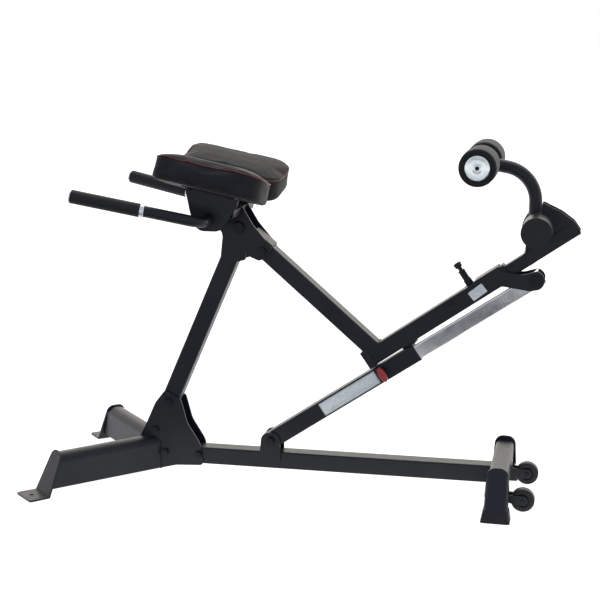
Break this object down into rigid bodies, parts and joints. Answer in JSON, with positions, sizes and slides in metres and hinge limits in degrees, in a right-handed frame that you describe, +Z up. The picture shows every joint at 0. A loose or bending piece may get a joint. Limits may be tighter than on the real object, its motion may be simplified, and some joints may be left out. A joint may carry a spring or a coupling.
{
  "type": "roman chair",
  "caption": "Hyperextension bench: floor frame, tilting pad and foot frame on a telescopic strut, canted thigh pads, ankle rollers and grip handles.",
  "frame": {"origin": "on the floor, under the middle of the bench's bounding box", "axes": "+X towards the foot end, +Y to the user's right when lying face down towards the handles, +Z up"},
  "size_m": [1.3678, 0.6372, 0.9011],
  "materials": {
    "black_powder_coat": "satin powder coat",
    "chromed_tube": "polished",
    "zinc_steel": "zinc plated",
    "black_fasteners": "black oxide",
    "brushed_trim": "satin",
    "bushing_bronze": "sintered",
    "black_plastic": "moulded",
    "black_rubber": "matt",
    "roller_foam": "closed-cell foam",
    "wheel_plastic": "moulded",
    "black_upholstery": "grained vinyl",
    "pad_plywood": "plywood",
    "red_knob": "glossy"
  },
  "bodies": {
    "base_frame": {"base_tube": "black_powder_coat", "upright": "black_powder_coat", "base_gussets": "black_powder_coat", "base_gusset_bolts": "black_fasteners", "pivot_gussets": "black_powder_coat", "tilt_pivot_bolt": "black_fasteners", "tilt_pivot_sleeve": "black_powder_coat", "strut_brackets": "black_powder_coat", "strut_lower_bolt": "black_fasteners", "rear_crossbar": "black_powder_coat", "rear_leg_left": "black_powder_coat", "rear_leg_right": "black_powder_coat", "rear_foot_caps": "black_rubber", "front_leg_left": "black_powder_coat", "front_leg_right": "black_powder_coat", "front_foot_plate_left": "black_powder_coat", "front_foot_plate_right": "black_powder_coat", "wheel_brackets": "black_powder_coat", "wheel_axles": "black_fasteners"},
    "tilt_frame": {"down_tube": "black_powder_coat", "foot_tube": "black_powder_coat", "foot_tube_cap": "black_plastic", "head_plates": "black_powder_coat", "tilt_bushings": "bushing_bronze", "head_bridge_plate": "black_powder_coat", "head_spacers": "black_powder_coat", "head_bolt": "black_fasteners", "pad_cross_beam": "black_powder_coat", "pad_supports": "black_powder_coat", "thigh_pad_left": "black_upholstery", "thigh_pad_right": "black_upholstery", "pad_boards": "pad_plywood", "pad_screws": "black_fasteners", "handle_cross_tube": "black_powder_coat", "handle_arm_left": "black_powder_coat", "handle_arm_right": "black_powder_coat", "handle_grips": "black_rubber", "grip_collars": "brushed_trim", "strut_clevis_plates": "black_powder_coat", "strut_upper_bolt": "black_fasteners", "foot_tube_guide": "black_plastic", "foot_pin_housing": "black_fasteners", "underside_bumper": "black_rubber"},
    "foot_slide": {"extension_tube": "black_powder_coat", "foot_end_caps": "black_plastic", "foot_brackets": "black_powder_coat", "lower_foot_bars": "black_powder_coat", "roller_arm": "black_powder_coat", "roller_axle": "zinc_steel", "roller_caps": "brushed_trim"},
    "foot_pin": {"foot_pin": "black_fasteners"},
    "strut_outer": {"strut_outer_tube": "black_powder_coat", "strut_guide": "black_plastic", "strut_pin_housing": "black_fasteners"},
    "strut_inner": {"strut_inner_tube": "chromed_tube"},
    "strut_pin": {"strut_pin": "red_knob"},
    "ankle_roller_left": {"ankle_roller_left": "roller_foam"},
    "ankle_roller_right": {"ankle_roller_right": "roller_foam"},
    "wheel_left": {"wheel_left": "wheel_plastic"},
    "wheel_right": {"wheel_right": "wheel_plastic"}
  },
  "joints": [
    {"name": "frame_tilt", "type": "hinge", "parent": "base_frame", "child": "tilt_frame", "pos_m": [-0.16638, 0, 0.67279], "axis": [0, 1, 0], "range_deg": [0, 30]},
    {"name": "foot_extension", "type": "slide", "parent": "tilt_frame", "child": "foot_slide", "axis": [0.8161, 0, 0.5779], "range_m": [0, 0.15]},
    {"name": "foot_pin_pull", "type": "slide", "parent": "tilt_frame", "child": "foot_pin", "axis": [-0.5779, 0, 0.8161], "range_m": [0, 0.012], "stiffness_N_per_m": 400, "springref_m": -0.01},
    {"name": "strut_swing", "type": "hinge", "parent": "base_frame", "child": "strut_outer", "pos_m": [-0.08063, 0, 0.11278], "axis": [0, 1, 0], "range_deg": [0, 23.12]},
    {"name": "strut_slide", "type": "slide", "parent": "strut_outer", "child": "strut_inner", "axis": [0.8228, 0, 0.5684], "range_m": [-0.28324, 0]},
    {"name": "strut_pin_pull", "type": "slide", "parent": "strut_outer", "child": "strut_pin", "axis": [0, -1, 0], "range_m": [0, 0.012], "stiffness_N_per_m": 400, "springref_m": -0.01},
    {"name": "ankle_roller_left_spin", "type": "hinge", "parent": "foot_slide", "child": "ankle_roller_left", "pos_m": [0.43947, 0, 0.8551], "axis": [0, 1, 0], "continuous": true},
    {"name": "ankle_roller_right_spin", "type": "hinge", "parent": "foot_slide", "child": "ankle_roller_right", "pos_m": [0.43947, 0, 0.8551], "axis": [0, 1, 0], "continuous": true},
    {"name": "wheel_left_spin", "type": "hinge", "parent": "base_frame", "child": "wheel_left", "pos_m": [0.5773, 0, 0.0377], "axis": [0, 1, 0], "continuous": true},
    {"name": "wheel_right_spin", "type": "hinge", "parent": "base_frame", "child": "wheel_right", "pos_m": [0.5773, 0, 0.0377], "axis": [0, 1, 0], "continuous": true}
  ],
  "couplings": [
    {"joint": "strut_swing", "follows": "frame_tilt", "ratio": 0.769},
    {"joint": "strut_slide", "follows": "frame_tilt", "m_per_rad": -0.54}
  ]
}
